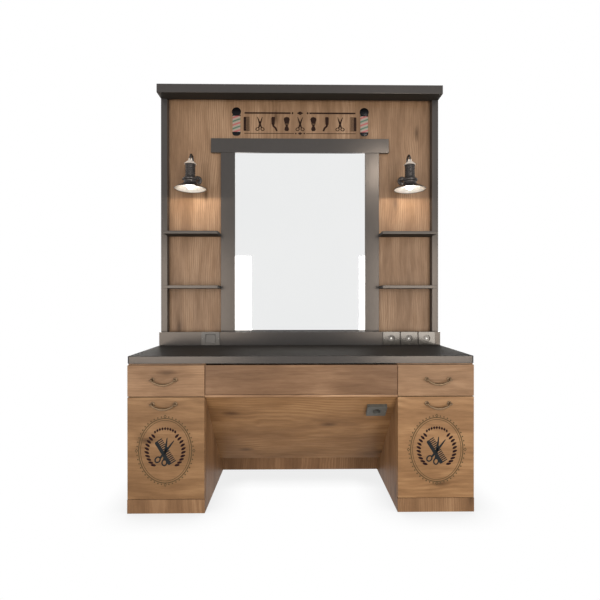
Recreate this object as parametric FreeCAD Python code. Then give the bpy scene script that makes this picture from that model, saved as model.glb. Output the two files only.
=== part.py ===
import FreeCAD
import Part
import math
import os

# Double sided salon station. Millimetres. X runs across the station, Y through its depth,
# Z up from the floor. The origin is on the floor at the middle of the station. Each working
# face is built once, looking towards -Y, and turned half a turn about Z for the other side.

os.makedirs("parts", exist_ok=True)
Vector = FreeCAD.Vector
ORIGIN = Vector(0, 0, 0)
ALONG_X = Vector(1, 0, 0)
ALONG_Y = Vector(0, 1, 0)
ALONG_Z = Vector(0, 0, 1)

# Overall size
station_width = 1800.0
station_depth = 1200.0
station_height = 2456.0
board = 18.0

# Worktop and the drawer cabinets that carry it
worktop_height = 812.0
worktop_thickness = 38.0
worktop_corner_radius = 12.0
pedestal_width = 400.0
plinth_height = 72.0
front_thickness = 18.0
front_side_gap = 1.5
plinth_gap = 2.0
worktop_shadow_gap = 8.0
front_spacing = 4.0
top_front_height = 162.0
centre_front_side_gap = 3.0
centre_front_gap = 1.5
deck_thickness = 12.0
stretcher_depth = 80.0
partition_thickness = 18.0

# Sloped knee panel, and the kick board that stands back under it. The two kick boards face
# away from each other across the core of the station.
slope_top_setback = 12.0
slope_bottom_height = 116.0
toe_recess = 105.0
core_depth = 120.0

# Drawer boxes and runners
drawer_wall = 12.0
drawer_bottom_thickness = 8.0
drawer_bottom_raise = 10.0
drawer_box_depth = 480.0
centre_box_depth = 450.0
top_box_height = 100.0
deep_box_height = 400.0
centre_box_height = 90.0
box_rise = 14.0
centre_box_rise = 8.0
runner_space = 12.7
runner_clearance = 0.4
runner_height = 36.0
runner_inset = 6.0
top_runner_lift = 30.0
deep_runner_lift = 60.0
centre_runner_lift = 26.0

# Bow handles
handle_centres = 117.0
handle_drop = 24.0
handle_standoff = 22.0
handle_rod_radius = 4.6
handle_post_radius = 4.8
handle_ball_radius = 6.4
handle_ear_length = 7.0
rosette_radius = 12.0
rosette_thickness = 4.0
top_handle_drop = 75.0
deep_handle_drop = 34.0
handle_outward_shift = 10.0

# Upright part: splash boards, posts, wall panels, cornice
splash_thickness = 38.0
splash_height = 86.0
post_width = 40.0
post_depth = 124.0
cornice_overhang = 86.0
cornice_height = 54.0
cornice_top_thickness = 18.0
wall_panel_thickness = 18.0

# Mirror
glass_width = 852.0
glass_lift = 93.0
glass_thickness = 5.0
mirror_backing = 10.0
mirror_frame_depth = 20.0
stile_width = 92.0
sill_height = 36.0
header_overhang = 64.0
header_height = 92.0
header_depth = 24.0
sign_space = 244.0

# Shelves between the mirror and the posts
shelf_thickness = 18.0
shelf_projection = 90.0
shelf_lifts = [382.0, 724.0]

# Lamps
lamp_from_post = 185.0
lamp_reach = 184.0
wall_plate_radius = 30.0
wall_plate_thickness = 10.0
wall_plate_drop = 85.0
arm_radius = 5.5
arm_low_bend = 45.0
arm_top_bend = 32.0
shade_rim_radius = 96.0
shade_top_radius = 42.0
shade_rim_lift = 972.0
shade_wall = 2.0
shade_depth = 32.0
rim_bead_radius = 2.2
collar_waist_radius = 39.0
collar_ring_radius = 46.0
collar_ring_rise = 20.0
collar_ring_height = 10.0
collar_top_radius = 34.0
collar_height = 45.0
neck_radius = 28.0
neck_height = 73.0
neck_rib_radius = 30.0
neck_rib_count = 6
cap_radius = 36.0
cap_edge = 3.0
cap_height = 25.0
cap_top_radius = 11.0
bulb_radius = 25.0
bulb_drop = 32.0
pivot_height_over_cap = 5.5
pivot_pin_radius = 2.5
pivot_clearance = 0.05
cheek_radius = 6.5
cheek_thickness = 5.0
tongue_thickness = 6.0
tongue_radius = 5.0
tongue_side_gap = 0.3
tongue_length = 7.5

# Sockets and switches
plate_width = 101.0
plate_height = 84.0
plate_thickness = 8.0
plate_lift = 44.0
plate_corner_radius = 4.0
socket_edge_distances = [317.0, 203.0, 89.0]
well_radius = 21.0
well_floor = 2.0
well_clearance = 0.2
contact_radius = 2.4
contact_spacing = 19.0
low_socket_from_pedestal = 96.0
low_socket_along_slope = 110.0
low_socket_width = 105.0
low_socket_length = 82.0
low_socket_thickness = 20.0
switch_edge_distance = 328.0
switch_width = 116.0
rocker_width = 62.0
rocker_height = 58.0
rocker_thickness = 7.0
rocker_gap = 0.6
rocker_back_gap = 3.4
rocker_axle_radius = 1.5
rocker_axle_length = 2.5
rocker_axle_clearance = 0.05
screw_radius = 2.6
screw_head = 1.2
screw_inset = 7.0
wall_plate_screw_circle = 21.0

# Places worked out from the sizes above
half_width = station_width / 2
half_depth = station_depth / 2
front_plane = -half_depth
carcass_front = front_plane + front_thickness
worktop_bottom = worktop_height - worktop_thickness
pedestal_inner = half_width - pedestal_width
pedestal_middle = half_width - pedestal_width / 2
pedestal_opening = pedestal_width - 2 * board
top_front_top = worktop_bottom - worktop_shadow_gap
top_front_bottom = top_front_top - top_front_height
deep_front_top = top_front_bottom - front_spacing
deep_front_bottom = plinth_height + plinth_gap
top_handle_height = top_front_top - top_handle_drop
deep_handle_height = deep_front_top - deep_handle_drop
deck_bottom = deep_front_top
deck_top = deck_bottom + deck_thickness
splash_top = worktop_height + splash_height
post_front = -post_depth / 2
splash_front = post_front - splash_thickness
post_inner = half_width - post_width
cornice_bottom = station_height - cornice_height
cornice_lid_bottom = station_height - cornice_top_thickness
niche_ceiling_bottom = cornice_lid_bottom - board
cornice_front = post_front - cornice_overhang
wall_face = -wall_panel_thickness
shelf_front = post_front - shelf_projection
glass_bottom = worktop_height + glass_lift
glass_top = cornice_bottom - sign_space - header_height
stile_outer = glass_width / 2 + stile_width
lamp_offset = post_inner - lamp_from_post
lamp_y = wall_face - lamp_reach
shade_rim_height = worktop_height + shade_rim_lift
shade_top = shade_rim_height + shade_depth
collar_top = shade_top + collar_height
neck_top = collar_top + neck_height
cap_top = neck_top + cap_height
pivot_height = cap_top + pivot_height_over_cap
arm_end_height = pivot_height + tongue_length
wall_plate_height = arm_end_height - wall_plate_drop
plate_level = worktop_height + plate_lift
socket_offsets = [half_width - distance for distance in socket_edge_distances]
switch_offset = half_width - switch_edge_distance
low_socket_offset = pedestal_inner - low_socket_from_pedestal
kick_front = -core_depth / 2
slope_top_y = front_plane + slope_top_setback
slope_bottom_y = kick_front - toe_recess
slope_run = slope_bottom_y - slope_top_y
slope_fall = deck_bottom - slope_bottom_height
slope_length = math.hypot(slope_run, slope_fall)
slope_level_thickness = board * slope_length / slope_fall


def block(x0, x1, y0, y1, z0, z1):
    return Part.makeBox(x1 - x0, y1 - y0, z1 - z0, Vector(x0, y0, z0))


def rod(radius, start, direction, length):
    return Part.makeCylinder(radius, length, start, direction)


def turned(shape):
    copy = shape.copy()
    copy.rotate(ORIGIN, ALONG_Z, 180)
    return copy


def mirrored(shape):
    return shape.mirror(ORIGIN, ALONG_X)


def both_sides(solids):
    return solids + [mirrored(solid) for solid in solids]


def both_faces(solids):
    return solids + [turned(solid) for solid in solids]


def save(node, solids):
    shape = solids[0]
    if len(solids) > 1:
        shape = Part.makeCompound(solids)
    shape.exportStep("parts/" + node + ".step")


def spun(points, x, y):
    # A profile of (radius, height) points, turned about the upright line at x, y.
    corners = [Vector(x + radius, y, height) for radius, height in points]
    face = Part.Face(Part.makePolygon(corners + corners[:1]))
    return face.revolve(Vector(x, y, 0), ALONG_Z, 360)


def bend(x, centre_y, centre_z, bend_radius, tube_radius, start_angle, turn):
    # A bent tube in the plane across X. Angles run from +Y towards +Z.
    start = math.radians(start_angle)
    y = centre_y + bend_radius * math.cos(start)
    z = centre_z + bend_radius * math.sin(start)
    along = Vector(0, -math.sin(start), math.cos(start))
    circle = Part.makeCircle(tube_radius, Vector(x, y, z), along)
    face = Part.Face(Part.Wire([circle]))
    return face.revolve(Vector(x, centre_y, centre_z), ALONG_X, turn)


# Cabinet carcass
def pedestal_outer_sides():
    side = block(half_width - board, half_width, carcass_front, -carcass_front, 0, worktop_bottom)
    return both_sides([side])


def pedestal_inner_sides():
    x0 = pedestal_inner
    side = block(x0, x0 + board, carcass_front, -carcass_front, 0, worktop_bottom)
    return both_sides([side])


def pedestal_inner_boards():
    x0 = pedestal_inner + board
    x1 = half_width - board
    floor_top = plinth_height + board
    floor = block(x0, x1, carcass_front, -carcass_front, plinth_height, floor_top)
    half = partition_thickness / 2
    partition = block(x0, x1, -half, half, floor_top, worktop_bottom)
    return both_sides([floor, partition])


def top_stretchers():
    x0 = pedestal_inner + board
    x1 = half_width - board
    y0 = carcass_front
    rail = block(x0, x1, y0, y0 + stretcher_depth, worktop_bottom - board, worktop_bottom)
    return both_faces(both_sides([rail]))


def plinth_boards():
    plinth = block(pedestal_inner, half_width, front_plane, carcass_front, 0, plinth_height)
    return both_faces(both_sides([plinth]))


def drawer_deck():
    deck = block(-pedestal_inner, pedestal_inner, front_plane, -front_plane, deck_bottom, deck_top)
    return [deck]


def modesty_panels():
    corners = [
        Vector(-pedestal_inner, slope_top_y, deck_bottom),
        Vector(-pedestal_inner, slope_bottom_y, slope_bottom_height),
        Vector(-pedestal_inner, slope_bottom_y + slope_level_thickness, slope_bottom_height),
        Vector(-pedestal_inner, slope_top_y + slope_level_thickness, deck_bottom),
    ]
    face = Part.Face(Part.makePolygon(corners + corners[:1]))
    panel = face.extrude(Vector(2 * pedestal_inner, 0, 0))
    return both_faces([panel])


def kick_boards():
    x = pedestal_inner
    kick = block(-x, x, kick_front, kick_front + board, 0, slope_bottom_height)
    soffit_front = slope_bottom_y + slope_level_thickness
    soffit_top = slope_bottom_height + board
    soffit = block(-x, x, soffit_front, kick_front + board, slope_bottom_height, soffit_top)
    return both_faces([kick, soffit])


def worktop():
    slab = block(-half_width, half_width, -half_depth, half_depth, worktop_bottom, worktop_height)
    upright = [edge for edge in slab.Edges if abs(edge.tangentAt(edge.FirstParameter).z) > 0.9]
    return [slab.makeFillet(worktop_corner_radius, upright)]


# Drawers
def drawer_front(x_middle, half, bottom, top):
    return [block(x_middle - half, x_middle + half, front_plane, carcass_front, bottom, top)]


def runner_bar(x_inside, x_outside, bottom, depth):
    y0 = carcass_front + runner_inset
    x0 = min(x_inside, x_outside)
    x1 = max(x_inside, x_outside)
    return block(x0, x1, y0, y0 + depth - 2 * runner_inset, bottom, bottom + runner_height)


def drawer_box(x_middle, opening, bottom, height, depth, runner_lift):
    half = opening / 2 - runner_space
    member = (runner_space - runner_clearance) / 2
    y0 = carcass_front
    y1 = carcass_front + depth
    x0 = x_middle - half
    x1 = x_middle + half
    floor = bottom + drawer_bottom_raise
    inner0 = x0 + drawer_wall
    inner1 = x1 - drawer_wall
    solids = [
        block(x0, inner0, y0, y1, bottom, bottom + height),
        block(inner1, x1, y0, y1, bottom, bottom + height),
        block(inner0, inner1, y0, y0 + drawer_wall, bottom, bottom + height),
        block(inner0, inner1, y1 - drawer_wall, y1, bottom, bottom + height),
        block(inner0, inner1, y0 + drawer_wall, y1 - drawer_wall, floor,
              floor + drawer_bottom_thickness),
        runner_bar(x0 - member, x0, bottom + runner_lift, depth),
        runner_bar(x1, x1 + member, bottom + runner_lift, depth),
    ]
    return solids


def cabinet_members(x_middle, opening, bottom, depth, runner_lift):
    member = (runner_space - runner_clearance) / 2
    x0 = x_middle - opening / 2
    x1 = x_middle + opening / 2
    return [
        runner_bar(x0, x0 + member, bottom + runner_lift, depth),
        runner_bar(x1 - member, x1, bottom + runner_lift, depth),
    ]


top_box_bottom = top_front_bottom + box_rise
deep_box_bottom = plinth_height + board + box_rise
centre_box_bottom = deck_top + centre_box_rise


def cabinet_runners():
    pedestal = cabinet_members(pedestal_middle, pedestal_opening, top_box_bottom,
                               drawer_box_depth, top_runner_lift)
    pedestal += cabinet_members(pedestal_middle, pedestal_opening, deep_box_bottom,
                                drawer_box_depth, deep_runner_lift)
    centre = cabinet_members(0, 2 * pedestal_inner, centre_box_bottom,
                             centre_box_depth, centre_runner_lift)
    return both_faces(both_sides(pedestal) + centre)


def bow_handle(x_middle, height):
    half = handle_centres / 2
    bow_y = front_plane - handle_standoff
    bow_radius = (half * half + handle_drop * handle_drop) / (2 * handle_drop)
    centre = Vector(x_middle, bow_y, height - handle_drop + bow_radius)
    half_angle = math.degrees(math.asin(half / bow_radius))
    start = Vector(x_middle - half, bow_y, height)
    out = (start - centre).normalize()
    along = out.cross(ALONG_Y)
    circle = Part.makeCircle(handle_rod_radius, start, along)
    bow = Part.Face(Part.Wire([circle])).revolve(centre, ALONG_Y, -2 * half_angle)
    handle = bow
    for side in (-1, 1):
        x = x_middle + side * half
        rosette = rod(rosette_radius, Vector(x, front_plane, height), -ALONG_Y, rosette_thickness)
        post = rod(handle_post_radius, Vector(x, front_plane, height), -ALONG_Y, handle_standoff)
        ball = Part.makeSphere(handle_ball_radius, Vector(x, bow_y, height))
        ear = rod(handle_rod_radius, Vector(x, bow_y, height), ALONG_X * side, handle_ear_length)
        tip = Part.makeSphere(handle_rod_radius * 1.1,
                              Vector(x + side * handle_ear_length, bow_y, height))
        for piece in (rosette, post, ball, ear, tip):
            handle = handle.fuse(piece)
    return [handle.removeSplitter()]


# Upright part
def backsplashes():
    back = splash_front + splash_thickness
    board_piece = block(-half_width, half_width, splash_front, back, worktop_height, splash_top)
    return both_faces([board_piece])


def posts():
    x0 = post_inner
    y0 = post_front
    post = block(x0, half_width, y0, -y0, worktop_height, cornice_lid_bottom)
    return both_sides([post])


def wall_panels():
    x = post_inner
    panel = block(-x, x, wall_face, 0, worktop_height, niche_ceiling_bottom)
    return both_faces([panel])


def niche_ceiling():
    # It lies against the underside of the cornice lid, so the wall shows above the beams' edge.
    x = post_inner
    y = -post_front
    return [block(-x, x, -y, y, niche_ceiling_bottom, cornice_lid_bottom)]


def cornice():
    x = half_width
    beam = block(-x, x, cornice_front, post_front, cornice_bottom, station_height)
    lid = block(-x, x, post_front, -post_front, cornice_lid_bottom, station_height)
    return both_faces([beam]) + [lid]


def mirror_frames():
    front = wall_face - mirror_frame_depth
    glass_half = glass_width / 2
    stile = block(glass_half, stile_outer, front, wall_face, worktop_height, glass_top)
    sill_bottom = glass_bottom - sill_height
    sill = block(-glass_half, glass_half, front, wall_face, sill_bottom, glass_bottom)
    back = block(-glass_half, glass_half, wall_face - mirror_backing, wall_face,
                 glass_bottom, glass_top)
    return both_faces(both_sides([stile]) + [sill, back])


def mirror_headers():
    front = wall_face - header_depth
    half = stile_outer + header_overhang
    return both_faces([block(-half, half, front, wall_face, glass_top, glass_top + header_height)])


def mirror_glasses():
    back = wall_face - mirror_backing
    half = glass_width / 2
    return both_faces([block(-half, half, back - glass_thickness, back, glass_bottom, glass_top)])


def display_shelves():
    solids = []
    for lift in shelf_lifts:
        top = worktop_height + lift
        solids.append(block(stile_outer, post_inner, shelf_front, wall_face,
                            top - shelf_thickness, top))
    return both_faces(both_sides(solids))


# Lamps
def lamp_bracket(x):
    plate = rod(wall_plate_radius, Vector(x, wall_face, wall_plate_height), -ALONG_Y,
                wall_plate_thickness)
    plate_edges = [edge for edge in plate.Edges
                   if edge.Closed and edge.BoundBox.YMax < wall_face - wall_plate_thickness / 2]
    plate = plate.makeFillet(wall_plate_thickness * 0.4, plate_edges)
    riser_y = lamp_y + 2 * arm_top_bend
    low_bend_y = riser_y + arm_low_bend
    low_bend_z = wall_plate_height + arm_low_bend
    plate_front = wall_face - wall_plate_thickness
    run = rod(arm_radius, Vector(x, plate_front, wall_plate_height), -ALONG_Y,
              plate_front - low_bend_y)
    low = bend(x, low_bend_y, low_bend_z, arm_low_bend, arm_radius, -90, -90)
    riser = rod(arm_radius, Vector(x, riser_y, low_bend_z), ALONG_Z, arm_end_height - low_bend_z)
    top = bend(x, lamp_y + arm_top_bend, arm_end_height, arm_top_bend, arm_radius, 0, 180)
    half = tongue_thickness / 2
    tongue = block(x - half, x + half, lamp_y - tongue_radius, lamp_y + tongue_radius,
                   pivot_height, arm_end_height)
    eye = rod(tongue_radius, Vector(x - half, lamp_y, pivot_height), ALONG_X, tongue_thickness)
    arm = run.fuse([low, riser, top, tongue, eye])
    hole_radius = pivot_pin_radius + pivot_clearance
    hole = rod(hole_radius, Vector(x - tongue_thickness, lamp_y, pivot_height), ALONG_X,
               2 * tongue_thickness)
    return [plate, arm.cut(hole)]


def lamp_cap(x):
    profile = [
        (0, neck_top),
        (cap_radius, neck_top),
        (cap_radius, neck_top + cap_edge),
        (cap_top_radius, cap_top),
        (0, cap_top),
    ]
    cap = spun(profile, x, lamp_y)
    cheek_inner = tongue_thickness / 2 + tongue_side_gap
    for side in (-1, 1):
        x0 = x + side * cheek_inner
        x1 = x + side * (cheek_inner + cheek_thickness)
        cheek = block(min(x0, x1), max(x0, x1), lamp_y - cheek_radius, lamp_y + cheek_radius,
                      cap_top - cap_edge, pivot_height)
        crown = rod(cheek_radius, Vector(min(x0, x1), lamp_y, pivot_height), ALONG_X,
                    cheek_thickness)
        cap = cap.fuse([cheek, crown])
    pin = rod(pivot_pin_radius, Vector(x - cheek_inner, lamp_y, pivot_height), ALONG_X,
              2 * cheek_inner)
    return cap.fuse(pin)


def lamp_neck(x):
    neck = rod(neck_radius, Vector(x, lamp_y, collar_top), ALONG_Z, neck_height)
    pitch = neck_height / neck_rib_count
    for index in range(neck_rib_count):
        rib_bottom = collar_top + pitch * (index + 0.25)
        rib = rod(neck_rib_radius, Vector(x, lamp_y, rib_bottom), ALONG_Z, pitch / 2)
        neck = neck.fuse(rib)
    return neck


def lamp_collar(x):
    ring_bottom = shade_top + collar_ring_rise
    ring_top = ring_bottom + collar_ring_height
    chamfer = collar_ring_radius - collar_waist_radius
    profile = [
        (0, shade_top),
        (shade_top_radius, shade_top),
        (collar_waist_radius, shade_top + chamfer),
        (collar_waist_radius, ring_bottom - chamfer / 2),
        (collar_ring_radius, ring_bottom),
        (collar_ring_radius, ring_top),
        (collar_waist_radius, ring_top + chamfer / 2),
        (collar_top_radius, collar_top - chamfer),
        (collar_top_radius, collar_top),
        (0, collar_top),
    ]
    return spun(profile, x, lamp_y)


def lamp_shade(x):
    rim = shade_rim_radius
    inner_rim = rim - shade_wall
    profile = [
        (0, shade_top),
        (shade_top_radius, shade_top),
        (rim, shade_rim_height + shade_wall),
        (rim, shade_rim_height),
        (inner_rim, shade_rim_height),
        (shade_top_radius - shade_wall, shade_top - shade_wall),
        (0, shade_top - shade_wall),
    ]
    shade = spun(profile, x, lamp_y)
    bead = Part.makeTorus(rim, rim_bead_radius, Vector(x, lamp_y, shade_rim_height), ALONG_Z)
    return shade.fuse(bead)


def lamp_bulb(x):
    bulb_top = shade_top - shade_wall
    ball_middle = bulb_top - bulb_drop + bulb_radius
    ball = Part.makeSphere(bulb_radius, Vector(x, lamp_y, ball_middle))
    below = block(x - bulb_radius, x + bulb_radius, lamp_y - bulb_radius, lamp_y + bulb_radius,
                  ball_middle - bulb_radius, bulb_top)
    return ball.common(below)


def lamp_head(x):
    return [lamp_cap(x), lamp_neck(x), lamp_collar(x), lamp_shade(x), lamp_bulb(x)]


# Sockets and switches
def rounded_plate(x_middle, z_middle, width, height, back, thickness):
    plate = block(x_middle - width / 2, x_middle + width / 2, back - thickness, back,
                  z_middle - height / 2, z_middle + height / 2)
    across = [edge for edge in plate.Edges if abs(edge.tangentAt(edge.FirstParameter).y) > 0.9]
    return plate.makeFillet(plate_corner_radius, across)


def well_insert(x_middle, z_middle, back):
    start = Vector(x_middle, back, z_middle)
    insert = rod(well_radius - well_clearance, start, -ALONG_Y, well_floor)
    for side in (-1, 1):
        contact = Vector(x_middle + side * contact_spacing / 2, back, z_middle)
        insert = insert.cut(rod(contact_radius, contact, -ALONG_Y, well_floor))
    return insert


def socket_plate(x_middle):
    plate = rounded_plate(x_middle, plate_level, plate_width, plate_height, splash_front,
                          plate_thickness)
    hole = rod(well_radius, Vector(x_middle, splash_front, plate_level), -ALONG_Y, plate_thickness)
    return plate.cut(hole)


def socket_plates():
    return both_faces([socket_plate(x) for x in socket_offsets])


def lying_on_slope(shape):
    # Brings a piece drawn on the upright plane y = 0, at height 0, onto the knee panel.
    lean = math.degrees(math.atan2(slope_run, slope_fall))
    copy = shape.copy()
    copy.rotate(ORIGIN, ALONG_X, lean)
    along = low_socket_along_slope / slope_length
    y = slope_top_y + slope_run * along
    z = deck_bottom - slope_fall * along
    copy.translate(Vector(low_socket_offset, y, z))
    return copy


def low_socket_boxes():
    body = rounded_plate(0, 0, low_socket_width, low_socket_length, 0, low_socket_thickness)
    hole = rod(well_radius, ORIGIN, -ALONG_Y, low_socket_thickness)
    return both_faces([lying_on_slope(body.cut(hole))])


def socket_wells():
    wells = [well_insert(x, plate_level, splash_front) for x in socket_offsets]
    wells.append(lying_on_slope(well_insert(0, 0, 0)))
    return both_faces(wells)


def switch_plates():
    window_width = rocker_width + 2 * rocker_gap
    window_height = rocker_height + 2 * rocker_gap
    plate = rounded_plate(-switch_offset, plate_level, switch_width, plate_height, splash_front,
                          plate_thickness)
    window = block(-switch_offset - window_width / 2, -switch_offset + window_width / 2,
                   splash_front - plate_thickness, splash_front,
                   plate_level - window_height / 2, plate_level + window_height / 2)
    axle_y = splash_front - rocker_back_gap - rocker_thickness / 2
    reach = rocker_width / 2 + rocker_axle_length + rocker_gap
    axle_hole = rod(rocker_axle_radius + rocker_axle_clearance,
                    Vector(-switch_offset - reach, axle_y, plate_level), ALONG_X, 2 * reach)
    return both_faces([plate.cut(window).cut(axle_hole)])


def switch_rocker():
    back = splash_front - rocker_back_gap
    x = -switch_offset
    body = block(x - rocker_width / 2, x + rocker_width / 2, back - rocker_thickness, back,
                 plate_level - rocker_height / 2, plate_level + rocker_height / 2)
    reach = rocker_width / 2 + rocker_axle_length
    axle = rod(rocker_axle_radius, Vector(x - reach, back - rocker_thickness / 2, plate_level),
               ALONG_X, 2 * reach)
    return [body.fuse(axle)]


def screw_on_plate(x, z, face_y):
    return rod(screw_radius, Vector(x, face_y, z), -ALONG_Y, screw_head)


def plate_screws():
    solids = []
    face_y = splash_front - plate_thickness
    spread = plate_width / 2 - screw_inset
    for x in socket_offsets:
        for side in (-1, 1):
            solids.append(screw_on_plate(x + side * spread, plate_level, face_y))
    for side in (-1, 1):
        x = -switch_offset + side * (switch_width / 2 - screw_inset)
        solids.append(screw_on_plate(x, plate_level, face_y))
        x = side * (low_socket_width / 2 - screw_inset)
        solids.append(lying_on_slope(screw_on_plate(x, 0, -low_socket_thickness)))
    for lamp_x in (-lamp_offset, lamp_offset):
        for angle in (30, 150, 270):
            x = lamp_x + wall_plate_screw_circle * math.cos(math.radians(angle))
            z = wall_plate_height + wall_plate_screw_circle * math.sin(math.radians(angle))
            solids.append(screw_on_plate(x, z, wall_face - wall_plate_thickness))
    return both_faces(solids)


def lamp_brackets():
    solids = lamp_bracket(-lamp_offset) + lamp_bracket(lamp_offset)
    return both_faces(solids)


# Fixed pieces, one node each
fixed_pieces = [
    ("pedestal_outer_sides", pedestal_outer_sides),
    ("pedestal_inner_sides", pedestal_inner_sides),
    ("pedestal_floors_and_partitions", pedestal_inner_boards),
    ("pedestal_top_stretchers", top_stretchers),
    ("plinth_boards", plinth_boards),
    ("drawer_deck", drawer_deck),
    ("modesty_panels", modesty_panels),
    ("kick_boards", kick_boards),
    ("worktop", worktop),
    ("backsplashes", backsplashes),
    ("posts", posts),
    ("wall_panels", wall_panels),
    ("niche_ceiling", niche_ceiling),
    ("cornice", cornice),
    ("mirror_frames", mirror_frames),
    ("mirror_headers", mirror_headers),
    ("mirror_glasses", mirror_glasses),
    ("display_shelves", display_shelves),
    ("cabinet_runners", cabinet_runners),
    ("lamp_brackets", lamp_brackets),
    ("socket_plates", socket_plates),
    ("socket_wells", socket_wells),
    ("low_socket_boxes", low_socket_boxes),
    ("switch_plates", switch_plates),
    ("plate_screws", plate_screws),
]
for node, make in fixed_pieces:
    save(node, make())

# Moving pieces, a set for each face. Left and right are as a person at that face sees them.
for face in ("front", "rear"):

    def placed(solids):
        if face == "rear":
            return [turned(solid) for solid in solids]
        return solids

    for side, sign in (("left", -1), ("right", 1)):
        x_middle = sign * pedestal_middle
        x_handle = sign * (pedestal_middle + handle_outward_shift)
        half = pedestal_width / 2 - front_side_gap
        name = face + "_" + side
        save(name + "_top_drawer_front",
             placed(drawer_front(x_middle, half, top_front_bottom, top_front_top)))
        save(name + "_top_drawer_box",
             placed(drawer_box(x_middle, pedestal_opening, top_box_bottom, top_box_height,
                               drawer_box_depth, top_runner_lift)))
        save(name + "_top_drawer_handle", placed(bow_handle(x_handle, top_handle_height)))
        save(name + "_deep_drawer_front",
             placed(drawer_front(x_middle, half, deep_front_bottom, deep_front_top)))
        save(name + "_deep_drawer_box",
             placed(drawer_box(x_middle, pedestal_opening, deep_box_bottom, deep_box_height,
                               drawer_box_depth, deep_runner_lift)))
        save(name + "_deep_drawer_handle", placed(bow_handle(x_handle, deep_handle_height)))
        save(name + "_lamp_head", placed(lamp_head(sign * lamp_offset)))

    centre_half = pedestal_inner - centre_front_side_gap
    save(face + "_centre_drawer_front",
         placed(drawer_front(0, centre_half, deck_top + centre_front_gap, top_front_top)))
    save(face + "_centre_drawer_box",
         placed(drawer_box(0, 2 * pedestal_inner, centre_box_bottom, centre_box_height,
                           centre_box_depth, centre_runner_lift)))
    save(face + "_switch_rocker", placed(switch_rocker()))
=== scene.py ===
import bmesh
import bpy
import math
import random
from mathutils import Matrix, Vector


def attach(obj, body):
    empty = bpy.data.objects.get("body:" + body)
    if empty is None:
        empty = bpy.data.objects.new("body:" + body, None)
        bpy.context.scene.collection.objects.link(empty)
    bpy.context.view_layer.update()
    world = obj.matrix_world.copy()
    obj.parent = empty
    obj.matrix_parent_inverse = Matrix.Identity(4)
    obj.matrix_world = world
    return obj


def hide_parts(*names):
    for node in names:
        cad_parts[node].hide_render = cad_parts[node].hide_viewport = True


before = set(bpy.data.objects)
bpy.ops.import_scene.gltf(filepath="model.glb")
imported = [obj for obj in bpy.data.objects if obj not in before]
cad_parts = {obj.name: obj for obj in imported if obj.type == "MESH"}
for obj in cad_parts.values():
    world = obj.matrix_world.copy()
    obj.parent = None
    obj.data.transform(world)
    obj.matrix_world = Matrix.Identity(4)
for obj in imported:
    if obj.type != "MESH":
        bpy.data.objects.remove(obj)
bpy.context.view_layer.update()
print("frame loaded")

mm = 0.001
scene = bpy.context.scene
halfTurn = Matrix.Rotation(math.pi, 4, "Z")    # takes the front face to the rear face
standUp = Matrix.Rotation(math.pi / 2, 4, "X")    # a drawing on the floor, stood up to face -Y
layAcross = Matrix.Rotation(math.pi / 2, 4, "Y")    # an upright turning, laid along X
turns = (Matrix(), halfTurn)
workFaces = tuple(zip(("front", "rear"), turns))
handSides = (("left", -1), ("right", 1))
chance = random.Random(41)    # gives every board its own place in the log

# Camera
view = {"place": (-0.0335, -2.7159, 1.1073), "turn": (89.882, 0.009, -0.698), "lens": 24.515}
cameraData = bpy.data.cameras.new("studioCamera")
cameraData.lens = view["lens"]
camera = bpy.data.objects.new("studioCamera", cameraData)
camera.location = view["place"]
camera.rotation_euler = [math.radians(angle) for angle in view["turn"]]
scene.collection.objects.link(camera)
scene.camera = camera
scene.view_settings.view_transform = "Standard"


# Node helpers
def newFinish(name, **settings):
    material = bpy.data.materials.new(name)
    material.use_nodes = True
    tree = material.node_tree
    tree.nodes.clear()
    shader = tree.nodes.new("ShaderNodeBsdfPrincipled")
    output = tree.nodes.new("ShaderNodeOutputMaterial")
    tree.links.new(shader.outputs["BSDF"], output.inputs["Surface"])
    feed(shader, settings)
    return material, shader


def feed(node, sockets):
    for name, value in sockets.items():
        socket = node.inputs[name.replace("_", " ") if isinstance(name, str) else name]
        if isinstance(value, bpy.types.NodeSocket):
            node.id_data.links.new(value, socket)
        else:
            socket.default_value = value


def addNode(kind, sockets, tree=None, **settings):
    # A new node in this tree, or else in the tree of the sockets that feed it.
    if tree is None:
        tree = next(value.id_data for value in sockets.values()
                    if isinstance(value, bpy.types.NodeSocket))
    node = tree.nodes.new("ShaderNode" + kind)
    for name, value in settings.items():
        setattr(node, name, value)
    feed(node, sockets)
    return node


def sums(operation, first, second, third=0.0):
    node = addNode("Math", {0: first, 1: second, 2: third}, operation=operation)
    return node.outputs[0]


def stretched(vector, scale, turn=(0, 0, 0)):
    node = addNode("Mapping", {"Vector": vector, "Scale": scale, "Rotation": turn})
    return node.outputs[0]


def speckle(vector, scale, detail=2.0, roughness=0.5):
    # Noise; a scale of three numbers stretches it.
    if isinstance(scale, tuple):
        vector, scale = stretched(vector, scale), 1.0
    sockets = {"Vector": vector, "Scale": scale, "Detail": detail, "Roughness": roughness}
    return addNode("TexNoise", sockets).outputs[0]


def ramp(factor, stops):
    node = addNode("ValToRGB", {"Fac": factor})
    points = node.color_ramp.elements
    while len(points) < len(stops):
        points.new(0.5)
    for point, (place, colour) in zip(points, stops):
        point.position = place
        point.color = (*colour, 1)
    return node.outputs[0]


def ranged(value, low, high, toLow, toHigh):
    sockets = {0: value, 1: low, 2: high, 3: toLow, 4: toHigh}
    return addNode("MapRange", sockets).outputs[0]


def blended(kind, factor, first, second):
    return addNode("Mix", {0: factor, 6: first, 7: second}, data_type="RGBA",
                   blend_type=kind).outputs[2]


def dented(shader, height, distance, strength):
    sockets = {"Height": height, "Distance": distance, "Strength": strength}
    feed(shader, {"Normal": addNode("Bump", sockets).outputs[0]})


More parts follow.
